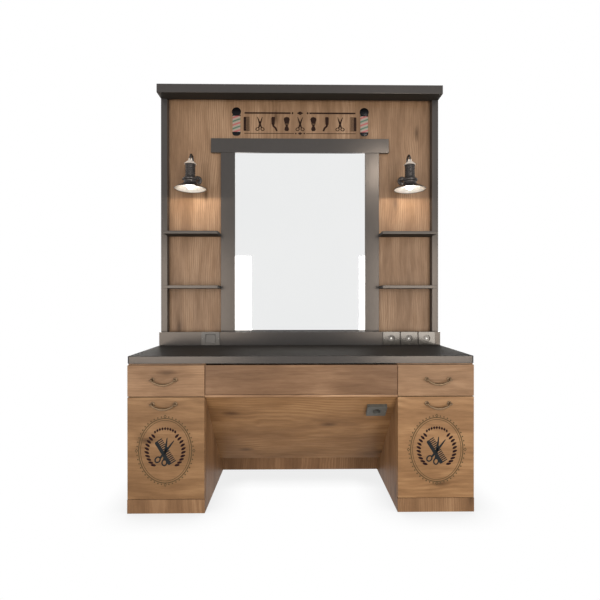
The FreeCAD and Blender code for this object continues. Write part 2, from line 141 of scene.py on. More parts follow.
def centredNoise(vector, stretch):
    sockets = {"Vector": stretched(vector, stretch), "Scale": 1.0, "Detail": 3.0}
    noise = addNode("TexNoise", sockets).outputs[1]
    return addNode("VectorMath", {0: noise, 1: (0.5, 0.5, 0.5)}, operation="SUBTRACT").outputs[0]


def shifted(vector, noise, amount):
    # Moves a point of the log across its grain, never along it.
    return addNode("VectorMath", {0: noise, 1: (0, amount, amount), 2: vector},
                   operation="MULTIPLY_ADD").outputs[0]


def carried(material, name):
    node = addNode("Attribute", {}, material.node_tree, attribute_name=name)
    return node.outputs["Vector"]


def objectSpace(material):
    return addNode("TexCoord", {}, material.node_tree).outputs["Object"]


def tinted(colour, factor):
    return tuple(min(1.0, part * factor) for part in colour)


# Walnut decor board. Each board carries its own cut of the log in the "grain" attribute, and its
# own tint in "tone". The shares say how much each pattern adds to the figure of the wood.
walnut = {"dark": (0.15, 0.082, 0.042), "mid": (0.285, 0.172, 0.1), "light": (0.41, 0.265, 0.165),
          "knot": (0.085, 0.045, 0.022), "sweep": 0.05, "bend": 0.02, "feather": 0.012,
          "rings": 26.0, "lean": 1.5, "shares": {"wide": 0.36, "streak": 0.36, "fine": 0.2},
          "halo": -0.14, "knotless": 0.7, "figure": (0.235, 0.815)}


def walnutFinish():
    w, shares = walnut, walnut["shares"]
    material, shader = newFinish("walnutDecor", Roughness=0.46, Specular_IOR_Level=0.18)
    cut, tone = carried(material, "grain"), carried(material, "tone")
    drift = centredNoise(cut, (2.3, 2.6, 2.6))
    swept = shifted(cut, drift, w["sweep"])
    bent = shifted(cut, drift, w["bend"])
    feather = centredNoise(bent, (3.4, 95, 95))
    ringed = stretched(shifted(swept, feather, w["feather"]), (1, 1, 1),
                       (0, math.radians(w["lean"]), 0))
    rings = addNode("TexWave", {"Vector": ringed, "Scale": w["rings"]},
                    wave_type="RINGS", rings_direction="X", wave_profile="SIN").outputs[1]
    wide = speckle(swept, (2.0, 10, 10))
    streak = speckle(swept, (5.5, 58, 58), 4.0, 0.6)
    fine = speckle(bent, (14, 240, 240), 2.0, 0.6)
    pores = speckle(cut, (22, 900, 900), 1.0)
    knots = addNode("TexVoronoi", {"Vector": stretched(bent, (2.2, 7, 1)), "Scale": 1.0},
                    voronoi_dimensions="2D")
    pick = addNode("SeparateColor", {0: knots.outputs[1]}).outputs[0]
    chosen = sums("GREATER_THAN", pick, w["knotless"])
    halo = sums("MULTIPLY", ranged(knots.outputs[0], 0.04, 0.4, 1.0, 0.0), chosen)
    value = sums("MULTIPLY", rings, ranged(wide, 0.42, 0.66, 0.02, 0.22))
    for pattern, share in ((wide, shares["wide"]), (streak, shares["streak"]),
                           (fine, shares["fine"]), (halo, w["halo"])):
        value = sums("MULTIPLY_ADD", pattern, share, value)
    colour = ramp(ranged(value, *w["figure"], 0.0, 1.0),
                  [(0.0, w["dark"]), (0.5, w["mid"]), (1.0, w["light"])])
    heart = sums("MULTIPLY", ranged(knots.outputs[0], 0.02, 0.13, 0.8, 0.0), chosen)
    colour = blended("MIX", heart, colour, (*w["knot"], 1))
    poreMask = ranged(pores, 0.62, 0.7, 0.0, 0.4)
    colour = blended("MIX", poreMask, colour, (*w["dark"], 1))
    feed(shader, {"Base Color": blended("MULTIPLY", 1.0, colour, tone),
                  "Roughness": ranged(streak, 0.3, 0.7, 0.52, 0.4)})
    dented(shader, sums("SUBTRACT", fine, poreMask), 0.00025, 0.5)
    return material


def anthraciteFinish(name, colour, roughness, level):
    # A brown grey laminate with faint clouds and a fine peel.
    material, shader = newFinish(name, Specular_IOR_Level=level,
                                 Specular_Tint=(1.0, 0.84, 0.71, 1.0))
    place = objectSpace(material)
    clouds = speckle(place, 2.3, 3.0)
    brushed = speckle(place, 38.0, 3.0)
    value = sums("MULTIPLY_ADD", brushed, 0.35, sums("MULTIPLY", clouds, 0.65))
    feed(shader, {
        "Base Color": ramp(value, [(0.3, colour), (0.7, tinted(colour, 1.16))]),
        "Roughness": ranged(clouds, 0.3, 0.7, roughness, roughness * 1.15)})
    dented(shader, speckle(place, 900.0), 0.00012, 0.3)
    return material


def melamineFinish():
    material, shader = newFinish("drawerMelamine", Roughness=0.5)
    place = objectSpace(material)
    weave = speckle(place, (40, 6, 220), 3.0)
    colour = ramp(weave, [(0.3, (0.43, 0.37, 0.29)), (0.7, (0.56, 0.5, 0.41))])
    feed(shader, {"Base Color": colour})
    dented(shader, speckle(place, 700.0), 0.0002, 0.4)
    return material


def metalFinish(name, colour, roughness, spread, scale, stretch=(1, 1, 1), metallic=1.0):
    # A metal with its colour and gloss broken up by a fine pattern.
    material, shader = newFinish(name, Metallic=metallic)
    place = objectSpace(material)
    grainy = speckle(stretched(place, stretch), scale, 3.0, 0.6)
    worn = speckle(place, 45.0, 3.0)
    mixed = sums("MULTIPLY_ADD", grainy, 0.5, sums("MULTIPLY", worn, 0.5))
    feed(shader, {
        "Base Color": ramp(mixed, [(0.32, tinted(colour, 1 - spread)),
                                   (0.68, tinted(colour, 1 + spread))]),
        "Roughness": ranged(mixed, 0.3, 0.7, roughness * 0.8, roughness * 1.25)})
    dented(shader, grainy, 0.00008, 0.35)
    return material


def plasticFinish(name, colour, roughness, level=0.5):
    material, shader = newFinish(name, Specular_IOR_Level=level)
    place = objectSpace(material)
    clouds = speckle(place, 60.0)
    feed(shader, {
        "Base Color": ramp(clouds, [(0.35, tinted(colour, 0.88)), (0.65, colour)]),
        "Roughness": ranged(clouds, 0.3, 0.7, roughness * 0.9, roughness * 1.1)})
    dented(shader, speckle(place, 1500.0), 0.00005, 0.3)
    return material


def glassFinish():
    material, shader = newFinish("silveredGlass", Metallic=1.0)
    clouds = speckle(objectSpace(material), 1.6)
    tint = ramp(clouds, [(0.3, (0.94, 0.95, 0.95)), (0.7, (0.96, 0.965, 0.965))])
    feed(shader, {"Base Color": tint, "Roughness": ranged(clouds, 0.3, 0.7, 0.012, 0.02)})
    return material


def glowFinish(name, colour, strength):
    material, shader = newFinish(name, Roughness=0.3, Emission_Strength=strength)
    clouds = speckle(objectSpace(material), 90.0)
    tint = ramp(clouds, [(0.35, colour), (0.65, tinted(colour, 1.06))])
    feed(shader, {"Base Color": tint, "Emission Color": tint})
    return material


# The barber's pole: red, white and green bands that climb to the right.
stripes = {"pitch": 0.048, "climb": 0.36, "red": (0.38, 0.085, 0.08), "white": (0.31, 0.25, 0.2),
           "green": (0.06, 0.135, 0.08)}


def stripeFinish():
    material, shader = newFinish("poleStripes", Roughness=0.45)
    drawn = carried(material, "grain")
    parts = addNode("SeparateXYZ", {0: drawn}).outputs
    height = sums("MULTIPLY_ADD", parts[0], -stripes["climb"], parts[2])
    turn = sums("FRACT", sums("DIVIDE", height, stripes["pitch"]), 0.0)
    bands = ((0.0, "red"), (0.2, "red"), (0.24, "white"), (0.48, "white"), (0.52, "green"),
             (0.7, "green"), (0.74, "white"), (0.98, "white"))
    painted = ramp(turn, [(place, stripes[colour]) for place, colour in bands])
    faded = ranged(speckle(drawn, 220.0, 3.0), 0.3, 0.7, 0.86, 1.0)
    feed(shader, {"Base Color": blended("MULTIPLY", 1.0, painted, faded)})
    return material


steelGrain = (1.5, 30, 60)
finishes = {
    "walnut": walnutFinish(),
    # Anthracite: satin on the fronts; matt on the faces that look up or down, its darker colour
    # painted shade; dull on the outer ends.
    "anthracite": anthraciteFinish("anthraciteLaminate", (0.0425, 0.0414, 0.0418), 0.205, 0.37),
    "shadedMatt": anthraciteFinish("anthraciteMattShaded", (0.027, 0.0245, 0.022), 0.62, 0.12),
    "dull": anthraciteFinish("anthraciteEnds", (0.05, 0.0475, 0.046), 0.8, 0.05),
    "melamine": melamineFinish(),
    "mirror": glassFinish(),
    "bronze": metalFinish("agedBronze", (0.19, 0.125, 0.072), 0.5, 0.35, 260.0, metallic=0.8),
    "runner": metalFinish("zincRunner", (0.55, 0.56, 0.57), 0.34, 0.12, 60.0, (1, 0.2, 6)),
    "gunmetal": metalFinish("gunmetalEnamel", (0.06, 0.053, 0.05), 0.28, 0.18, 420.0,
                            metallic=0.7),
    "satin": metalFinish("satinNickel", (0.78, 0.7, 0.62), 0.46, 0.08, 300.0, metallic=0.3),
    "enamel": plasticFinish("whiteEnamel", (0.93, 0.92, 0.89), 0.22),
    "steel": metalFinish("brushedSteel", (0.062, 0.055, 0.047), 0.15, 0.2, 30.0, steelGrain,
                         0.45),
    "darkSteel": metalFinish("darkSteel", (0.07, 0.063, 0.056), 0.34, 0.2, 30.0, steelGrain,
                             0.25),
    "wellSteel": metalFinish("wellSteel", (0.062, 0.055, 0.048), 0.2, 0.15, 30.0, steelGrain,
                             0.45),
    "black": plasticFinish("blackInsert", (0.075, 0.068, 0.06), 0.3),
    "glintDish": metalFinish("paintedGlintDish", (0.8, 0.78, 0.75), 0.26, 0.1, 300.0, metallic=0.55),
    "grey": plasticFinish("slateHousing", (0.085, 0.085, 0.076), 0.35),
    "screw": metalFinish("screwSteel", (0.2, 0.185, 0.165), 0.34, 0.12, 500.0, metallic=0.6),
    "bulb": glowFinish("warmBulb", (1.0, 0.93, 0.83), 11.0),
    "ink": plasticFinish("darkInk", (0.02, 0.0075, 0.004), 0.7, 0.12),
    "maroon": plasticFinish("maroonInk", (0.014, 0.003, 0.004), 0.7, 0.12),
    "slate": plasticFinish("slateInk", (0.012, 0.0145, 0.016), 0.7, 0.15),
    "olive": plasticFinish("oliveInk", (0.1, 0.066, 0.032), 0.7, 0.12),
    "gloss": plasticFinish("glossBlack", (0.004, 0.004, 0.005), 0.24, 0.14),
    "stripes": stripeFinish(),
}
print("finishes made")


# Mesh helpers
def at(x, y, z):
    # A place in millimetres.
    return Matrix.Translation((x * mm, y * mm, z * mm))


def startPiece():
    shape = bmesh.new()
    shape.verts.layers.float_vector.new("grain")
    shape.verts.layers.float_vector.new("tone")
    return shape


def cutFromLog(shape, verts, along, tone):
    # Gives these vertices their place in a log of their own.
    grain = shape.verts.layers.float_vector["grain"]
    toneLayer = shape.verts.layers.float_vector["tone"]
    low = Vector([min(vert.co[axis] for vert in verts) for axis in range(3)])
    high = Vector([max(vert.co[axis] for vert in verts) for axis in range(3)])
    middle, size = (low + high) / 2, high - low
    across, depth = sorted((axis for axis in range(3) if axis != along),
                           key=lambda axis: -size[axis])
    shift = Vector((chance.uniform(0, 40), chance.uniform(-0.1, 0.1), chance.uniform(0.02, 0.06)))
    light = 1 + chance.uniform(-0.04, 0.04)
    for vert in verts:
        spot = vert.co - middle
        vert[grain] = Vector((spot[along], spot[across], spot[depth])) + shift
        vert[toneLayer] = Vector(tone) * light


def addBoard(shape, low, high, along=0, edge=1.0, tone=(1, 1, 1), finish=0):
    # One board between two corners in millimetres, its edges eased by edge.
    known, oldFaces = set(shape.verts), set(shape.faces)
    low, high = Vector(low) * mm, Vector(high) * mm
    place = Matrix.Translation((low + high) / 2) @ Matrix.Diagonal((*(high - low), 1))
    made = bmesh.ops.create_cube(shape, size=1.0, matrix=place)
    edges = list(dict.fromkeys(line for vert in made["verts"] for line in vert.link_edges))
    bmesh.ops.bevel(shape, geom=edges, offset=edge * mm, offset_type="OFFSET", segments=2,
                    profile=0.5, affect="EDGES", material=-1, clamp_overlap=True)
    fresh = [vert for vert in shape.verts if vert not in known]
    cutFromLog(shape, fresh, along, tone)
    setFinish(shape, finish, lambda face: face not in oldFaces)
    return fresh


def setFinish(shape, finish, wanted):
    for face in shape.faces:
        if wanted(face):
            face.material_index = finish


def looksUp(face):
    return face.normal.z > 0.9


def looksDown(face):
    return face.normal.z < -0.9


def outerEnd(face):
    # An end that looks sideways, out of the station.
    return abs(face.normal.x) > 0.9 and abs(face.calc_center_median().x) > 0.89


def bothSides(low, high):
    return [(low, high), ((-high[0], low[1], low[2]), (-low[0], high[1], high[2]))]


def bothFaces(boards):
    turned = [((-high[0], -high[1], low[2]), (-low[0], -low[1], high[2])) for low, high in boards]
    return boards + turned


def finishPiece(shape, name, materials, replaces=(), body="station", sharp=33):
    mesh = bpy.data.meshes.new(name)
    shape.to_mesh(mesh)
    shape.free()
    for material in materials:
        mesh.materials.append(finishes[material])
    mesh.shade_smooth()
    mesh.set_sharp_from_angle(angle=math.radians(sharp))
    piece = bpy.data.objects.new(name, mesh)
    scene.collection.objects.link(piece)
    # Keeps the broad faces flat and lets only the eased edges turn.
    piece.modifiers.new("flatFaces", "WEIGHTED_NORMAL").keep_sharp = True
    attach(piece, body)
    if replaces:
        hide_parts(*replaces)


def boardPiece(name, nodes, boards, materials, along=0, edge=1.0, tone=(1, 1, 1), painted=()):
    shape = startPiece()
    for low, high in boards:
        addBoard(shape, low, high, along, edge, tone)
    for finish, wanted in painted:
        setFinish(shape, finish, wanted)
    finishPiece(shape, name, materials, nodes)


def cadCopy(node):
    # The solids of a CAD node, merged, so that operators can work on them.
    shape = startPiece()
    shape.from_mesh(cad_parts[node].data)
    bmesh.ops.remove_doubles(shape, verts=shape.verts, dist=0.01 * mm)
    bmesh.ops.dissolve_limit(shape, angle_limit=math.radians(0.5), verts=shape.verts,
                             edges=shape.edges)
    return shape


def easeEdges(shape, chosen, width, segments=2):
    edges = [edge for edge in shape.edges if len(edge.link_faces) == 2
             and edge.calc_face_angle(0) > math.radians(40) and chosen(edge)]
    bmesh.ops.bevel(shape, geom=edges, offset=width * mm, offset_type="OFFSET",
                    segments=segments, profile=0.5, affect="EDGES", material=-1,
                    clamp_overlap=True)


def tidied(shape):
    bmesh.ops.remove_doubles(shape, verts=shape.verts, dist=0.001 * mm)
    bmesh.ops.recalc_face_normals(shape, faces=shape.faces)
    return shape


def moved(shape, matrix, known=()):
    # Moves all the vertices, apart from those that are known already.
    fresh = [vert for vert in shape.verts if vert not in known]
    bmesh.ops.transform(shape, matrix=matrix, verts=fresh)
    return shape


def lathe(profile, steps, place=Matrix()):
    # A profile of (radius, height) in millimetres, turned about Z, then put in place.
    shape = startPiece()
    points = [shape.verts.new((radius * mm, 0, height * mm)) for radius, height in profile]
    lines = [shape.edges.new(pair) for pair in zip(points, points[1:])]
    bmesh.ops.spin(shape, geom=points + lines, cent=(0, 0, 0), axis=(0, 0, 1),
                   angle=math.tau, steps=steps, use_merge=True, use_duplicate=False)
    return moved(tidied(shape), place)


def pour(target, source, finish=0):
    # Adds one bmesh to another and frees it. With finish None, its faces keep their own.
    known = set(target.faces)
    mesh = bpy.data.meshes.new("passing")
    source.to_mesh(mesh)
    source.free()
    target.from_mesh(mesh)
    bpy.data.meshes.remove(mesh)
    if finish is not None:
        setFinish(target, finish, lambda face: face not in known)


def tube(knots, radius, roundness, fineness=10):
    # A round bar through (place, direction, reach before, reach after, thickness) knots.
    data = bpy.data.curves.new("passing", "CURVE")
    data.dimensions = "3D"
    data.bevel_depth = radius * mm
    data.bevel_resolution = roundness
    data.resolution_u = fineness
    data.use_fill_caps = True
    line = data.splines.new("BEZIER")
    line.bezier_points.add(len(knots) - 1)
    for point, (place, direction, before, after, thickness) in zip(line.bezier_points, knots):
        place, direction = Vector(place) * mm, Vector(direction).normalized()
        point.co = place
        point.handle_left_type = point.handle_right_type = "FREE"
        point.handle_left = place - direction * before * mm
        point.handle_right = place + direction * after * mm
        point.radius = thickness
    return curveShape(data)


def curveShape(data):
    holder = bpy.data.objects.new("passing", data)
    mesh = bpy.data.meshes.new_from_object(holder)
    shape = startPiece()
    shape.from_mesh(mesh)
    bpy.data.objects.remove(holder)
    bpy.data.curves.remove(data)
    bpy.data.meshes.remove(mesh)
    return tidied(shape)


def placedCopy(source, matrix):
    return moved(source.copy(), matrix)


# Carcass
carcass = {"halfWidth": 900, "front": 600, "back": 582, "inner": 500, "board": 18,
           "worktopBottom": 774, "plinth": 72, "deckBottom": 600, "deckTop": 612, "stretcher": 80,
           "kick": 60, "toeTop": 116, "slopeTop": 588, "slopeBottom": 165, "soffitLap": 24,
           "strip": (-2.6, 1.1), "stripFront": 595, "stripTop": 766}
slope = (carcass["slopeTop"] - carcass["slopeBottom"], carcass["deckBottom"] - carcass["toeTop"])


def buildCarcass():
    c = carcass
    w, f, b, i, t = c["halfWidth"], c["front"], c["back"], c["inner"], c["board"]
    top, foot, toe = c["worktopBottom"], c["plinth"], c["toeTop"]
    cabinets = (bothSides((i + t, -b, foot), (w - t, b, foot + t))
                + bothSides((i + t, -t / 2, foot + t), (w - t, t / 2, top)))
    stretchers = bothSides((i + t, -b, top - t), (w - t, -b + c["stretcher"], top))
    left, right = c["strip"]
    # Dark strips behind the seams beside the centre fronts: painted shade in the gaps.
    strips = bothSides((i + left, -c["stripFront"], c["deckTop"]), (i + right, -b, c["stripTop"]))
    kicks = [((-i, -c["kick"], 0), (i, -c["kick"] + t, toe)),
             ((-i, -c["slopeBottom"] + c["soffitLap"], toe), (i, -c["kick"] + t, toe + t))]
    plain = (1, 1, 1)
    for name, nodes, boards, along, edge, tone in (
            ("outerSides", ["pedestal_outer_sides"], bothSides((w - t, -b, 0), (w, b, top)),
             2, 1.0, (0.96, 0.93, 0.9)),
            ("innerSides", ["pedestal_inner_sides"], bothSides((i, -b, 0), (i + t, b, top)),
             2, 1.0, (0.93, 0.84, 0.69)),
            ("pedestalFloors", ["pedestal_floors_and_partitions"], cabinets, 1, 0.5, plain),
            ("topStretchers", ["pedestal_top_stretchers"], bothFaces(stretchers), 0, 0.5, plain),
            ("plinthBoards", ["plinth_boards"], bothFaces(bothSides((i, -f, 0), (w, -b, foot))),
             2, 1.0, (0.79, 0.72, 0.61)),
            # The seam strips, toned dark: painted shade in the gaps.
            ("paintedSeamShade", (), bothFaces(strips), 2, 0.5, (0.5, 0.42, 0.36)),
            ("drawerDeck", ["drawer_deck"], [((-i, -f, c["deckBottom"]), (i, f, c["deckTop"]))],
             0, 1.5, (1.12, 1.08, 1.02)),
            # The kick boards, deep in the knee space, are toned darker as painted shade.
            ("kickBoards", ["kick_boards"], bothFaces(kicks), 2, 0.5, (0.69, 0.61, 0.51))):
        boardPiece(name, nodes, boards, ["walnut"], along, edge, tone)


def buildKneePanels():
    # Each panel is sheared from upright to its slope, so that its ends stay level.
    c = carcass
    run, fall = slope
    shape = startPiece()
    level = c["board"] * math.hypot(run, fall) / fall
    lean = Matrix(((1, 0, 0, 0), (0, 1, -run / fall, -c["slopeBottom"] * mm),
                   (0, 0, 1, c["toeTop"] * mm), (0, 0, 0, 1)))
    for turn in turns:
        fresh = addBoard(shape, (-c["inner"], 0, 0), (c["inner"], level, fall), 0, 0.6,
                         (0.95, 0.85, 0.63))
        bmesh.ops.transform(shape, matrix=turn @ lean, verts=fresh)
    finishPiece(shape, "kneePanels", ["walnut"], ["modesty_panels"])


def buildWorktop():
    shape = cadCopy("worktop")
    easeEdges(shape, lambda edge: abs(edge.verts[0].co.z - edge.verts[1].co.z) < 1 * mm, 2.0, 3)
    cutFromLog(shape, list(shape.verts), 0, (1, 1, 1))
    # The top takes the darker matt finish: painted shade.
    setFinish(shape, 1, looksUp)
    setFinish(shape, 2, outerEnd)
    finishPiece(shape, "worktopBoard", ["anthracite", "shadedMatt", "dull"],
                ["worktop"], sharp=40)


# Drawers. A box is given by its bottom and height, and lift is the runner's height in it.
# The side factors are painted light: they make each front lighter or darker as light falls on its
# side. The centre front's darker tone is painted shade.
drawers = {
    "middle": 700, "half": 198.5, "wall": 12, "clearance": 12.7, "steel": 6.15, "channel": 36,
    "top": {"span": (604, 766), "opening": 182, "box": (618, 100), "depth": 480, "lift": 30,
            "pull": 691, "tone": (0.91, 0.88, 0.81), "shade": {"left": 1.14, "right": 1.08}},
    "deep": {"span": (74, 600), "opening": 182, "box": (104, 400), "depth": 480, "lift": 60,
             "pull": 566, "tone": (0.86, 0.78, 0.61), "shade": {"left": 0.95, "right": 1.16}},
    "centre": {"span": (613.5, 766), "opening": 500, "box": (620, 90), "depth": 450, "lift": 26,
               "half": 497, "tone": (0.69, 0.63, 0.57)}}


def addRunner(shape, low, high, outward):
    # A steel channel: its open side looks along outward, +1 or -1 in X.
    known = set(shape.faces)
    addBoard(shape, low, high, 1, 0.4, finish=1)
    side = max((face for face in shape.faces if face not in known),
               key=lambda face: (round(face.normal.x * outward, 2), face.calc_area()))
    bmesh.ops.inset_region(shape, faces=[side], thickness=6 * mm)
    bmesh.ops.translate(shape, verts=list(side.verts), vec=(-outward * 2.4 * mm, 0, 0))


def runnerSpan(kind):
    # Where a drawer's runners begin and end in Y, and their bottom and top.
    front, bottom = -carcass["back"], kind["box"][0] + kind["lift"]
    return front + 6, front + kind["depth"] - 6, bottom, bottom + drawers["channel"]


def drawerBox(name, kind, middle, turn, body):
    shape = startPiece()
    wall, steel = drawers["wall"], drawers["steel"]
    (bottom, height), front = kind["box"], -carcass["back"]
    half, back, floor = kind["opening"] - drawers["clearance"], front + kind["depth"], bottom + 10
    x0, x1, top = middle - half, middle + half, bottom + height
    for low, high, along in (
            ((x0, front, bottom), (x0 + wall, back, top), 1),
            ((x1 - wall, front, bottom), (x1, back, top), 1),
            ((x0 + wall, front, bottom), (x1 - wall, front + wall, top), 0),
            ((x0 + wall, back - wall, bottom), (x1 - wall, back, top), 0),
            ((x0 + wall, front + wall, floor), (x1 - wall, back - wall, floor + 8), 1)):
        addBoard(shape, low, high, along, 0.8)
    y0, y1, z0, z1 = runnerSpan(kind)
    addRunner(shape, (x0 - steel, y0, z0), (x0, y1, z1), -1)
    addRunner(shape, (x1, y0, z0), (x1 + steel, y1, z1), 1)
    moved(shape, turn)
    finishPiece(shape, name + "Box", ["melamine", "runner"], [body + "_box"],
                body)


def buildRunners():
    shape = startPiece()
    out, steel = drawers["middle"], drawers["steel"]
    for turn in turns:
        known = set(shape.verts)
        for size, middle in (("top", out), ("top", -out), ("deep", out), ("deep", -out),
                             ("centre", 0)):
            kind = drawers[size]
            x0, x1 = middle - kind["opening"], middle + kind["opening"]
            y0, y1, z0, z1 = runnerSpan(kind)
            addRunner(shape, (x0, y0, z0), (x0 + steel, y1, z1), 1)
            addRunner(shape, (x1 - steel, y0, z0), (x1, y1, z1), -1)
        moved(shape, turn, known)
    setFinish(shape, 0, lambda face: True)
    finishPiece(shape, "cabinetRunners", ["runner"], ["cabinet_runners"])


bow = {"half": 58.5, "drop": 24, "reach": 22, "rod": 4.6, "outward": 10, "rise": 50}


def bowHandle():
    # A cast bow pull, drawn at the origin on the plane y = 0, facing -Y.
    half, drop, reach = bow["half"], bow["drop"], bow["reach"]
    rise = math.radians(bow["rise"])
    shape = startPiece()
    knots = [((0, -reach + 1.4, -drop), (1, 0, 0), 16, 16, 1.5)]
    for side in (-1, 1):
        ends = (12, 20)[::-side]    # the short reach is the outer one
        tip = ((side * half, -reach, 0), (math.cos(rise), 0, side * math.sin(rise)), *ends, 0.82)
        bend = ((side * half * 0.52, -reach, -drop * 0.74), (0.9, 0, side * 0.42), 13, 13, 1.15)
        knots = [tip, bend] + knots if side < 0 else knots + [bend, tip]
    pour(shape, tube(knots, bow["rod"], 4))
    rosette = [(0, 0), (12, 0), (12, 1.6), (10.8, 2.8), (9.2, 3.0), (8.4, 4.0), (6.6, 4.4),
               (5.2, 6.0), (4.3, 9.0), (4.0, 14.0), (4.8, 17.0), (6.2, 19.2), (6.6, 22.0),
               (5.6, 25.6), (3.2, 27.6), (0, 28.2)]
    ear = [(0, 0), (3.6, 0.3), (3.2, 2.6), (4.4, 3.6), (4.4, 4.6), (3.2, 5.6), (3.8, 7.4),
           (3.4, 9.4), (1.8, 10.4), (0, 10.6)]
    for side in (-1, 1):
        pour(shape, lathe(rosette, 28, at(side * half, 0, 0) @ standUp))
        sideways = Matrix.Rotation(side * math.pi / 2, 4, "Y")
        pour(shape, lathe(ear, 20, at(side * (half + 1), -reach, 0) @ sideways))
    return shape


def drawerFront(name, kind, middle, half, tone, turn, body):
    c = carcass
    bottom, top = kind["span"]
    shape = startPiece()
    addBoard(shape, (middle - half, -c["front"], bottom), (middle + half, -c["back"], top), 0,
             1.2, tone)
    moved(shape, turn)
    finishPiece(shape, name + "Front", ["walnut"], [body + "_front"], body)
    drawerBox(name, kind, middle, turn, body)


def buildDrawers():
    handle = bowHandle()
    for face, turn in workFaces:
        for side, sign in handSides:
            for size in ("top", "deep"):
                kind = drawers[size]
                body = face + "_" + side + "_" + size + "_drawer"
                name = face + side.capitalize() + size.capitalize()
                # Painted light: the side factor lightens or darkens this front as light falls on
                # it.
                tone = Vector(kind["tone"]) * kind["shade"][side]
                drawerFront(name, kind, sign * drawers["middle"], drawers["half"], tone, turn,
                            body)
                place = turn @ at(sign * (drawers["middle"] + bow["outward"]),
                                  -carcass["front"], kind["pull"])
                finishPiece(placedCopy(handle, place), name + "Handle", ["bronze"],
                            [body + "_handle"], body, 50)
        kind = drawers["centre"]
        drawerFront(face + "Centre", kind, 0, kind["half"], kind["tone"], turn,
                    face + "_centre_drawer")
    handle.free()


# Upright part
upright = {"worktop": 812, "splashY": 100, "splashTop": 898, "post": 860, "postY": 62,
           "corniceY": 148, "corniceBottom": 2402, "top": 2456, "lid": 2438, "ceiling": 2420,
           "wall": 18, "glass": 426, "glassY": (33, 28), "glassBottom": 905, "glassTop": 2066,
           "stile": 518, "frame": 38, "sill": 869, "header": 582, "headerY": 42,
           "headerTop": 2158, "shelfY": 152, "shelf": 18, "shelfTops": (1194, 1536)}


def buildUpright():
    u, w = upright, carcass["halfWidth"]
    g, s, wall, post, postY = u["glass"], u["stile"], u["wall"], u["post"], u["postY"]
    boardPiece("splashBoards", ["backsplashes"],
               bothFaces([((-w, -u["splashY"], u["worktop"]), (w, -postY, u["splashTop"]))]),
               ["anthracite", "dull"], painted=[(1, outerEnd)])
    boardPiece("cornerPosts", ["posts"],
               bothSides((post, -postY, u["worktop"]), (w, postY, u["lid"])),
               ["anthracite", "dull"], 2, 1.5, painted=[(1, outerEnd)])
    boardPiece("wallPanels", ["wall_panels"],
               bothFaces([((-post, -wall, u["worktop"]), (post, 0, u["ceiling"]))]),
               ["walnut"], 2, 0.5, (0.9, 0.9, 0.885))
    # Painted shade: the niche ceiling takes the darker matt finish.
    boardPiece("nicheCeiling", ["niche_ceiling"],
               [((-post, -postY, u["ceiling"]), (post, postY, u["lid"]))], ["shadedMatt"], 0, 0.5)
    beams = bothFaces([((-w, -u["corniceY"], u["corniceBottom"]), (w, -postY, u["top"]))])
    # The cornice's underside takes the darker matt finish: painted shade.
    boardPiece("corniceBoards", ["cornice"],
               beams + [((-w, -postY, u["lid"]), (w, postY, u["top"]))],
               ["anthracite", "shadedMatt", "dull"], 0, 2.0, painted=[(1, looksDown), (2, outerEnd)])
    frames = bothSides((g, -u["frame"], u["worktop"]), (s, -wall, u["glassTop"]))
    frames += [((-g, -u["frame"], u["sill"]), (g, -wall, u["glassBottom"])),
               ((-g, -u["glassY"][1], u["glassBottom"]), (g, -wall, u["glassTop"]))]
    boardPiece("mirrorFrames", ["mirror_frames"], bothFaces(frames), ["anthracite"], 2, 1.2)
    boardPiece("mirrorHeaders", ["mirror_headers"],
               bothFaces([((-u["header"], -u["headerY"], u["glassTop"]),
                           (u["header"], -wall, u["headerTop"]))]), ["anthracite"], 0, 1.5)
    shelves = []
    for top in u["shelfTops"]:
        shelves += bothSides((s, -u["shelfY"], top - u["shelf"]), (post, -wall, top))
    # The shelves' undersides take the darker matt finish: painted shade.
    boardPiece("displayShelves", ["display_shelves"], bothFaces(shelves),
               ["anthracite", "shadedMatt"], 0, 1.2, painted=[(1, looksDown)])


def buildMirrors():
    u, bevelled = upright, {"width": 22, "fall": 0.06}
    shape = startPiece()
    for turn in turns:
        known, oldFaces = set(shape.verts), set(shape.faces)
        addBoard(shape, (-u["glass"], -u["glassY"][0], u["glassBottom"]),
                 (u["glass"], -u["glassY"][1], u["glassTop"]), 0, 0.3)
        pane = min((face for face in shape.faces if face not in oldFaces),
                   key=lambda face: (round(face.normal.y, 2), -face.calc_area()))
        rim = list(pane.edges)
        bmesh.ops.inset_region(shape, faces=[pane], thickness=bevelled["width"] * mm)
        outer = {vert for edge in rim for vert in edge.verts if edge.is_valid}
        bmesh.ops.translate(shape, verts=list(outer), vec=(0, bevelled["fall"] * mm, 0))
        moved(shape, turn, known)
    finishPiece(shape, "mirrorPanes", ["mirror"], ["mirror_glasses"], sharp=0.5)


# Lamps
lamp = {"x": 675, "y": -202, "rim": 1784, "shadeTop": 1816, "collarTop": 1861, "neckTop": 1934,
        "ribs": 7, "capTop": 1959, "pivot": 1964.5, "armEnd": 1972, "plateZ": 1887,
        "lowBend": 45, "topBend": 32, "arm": 5.5, "glow": 4.6, "warm": (1.0, 0.79, 0.57)}


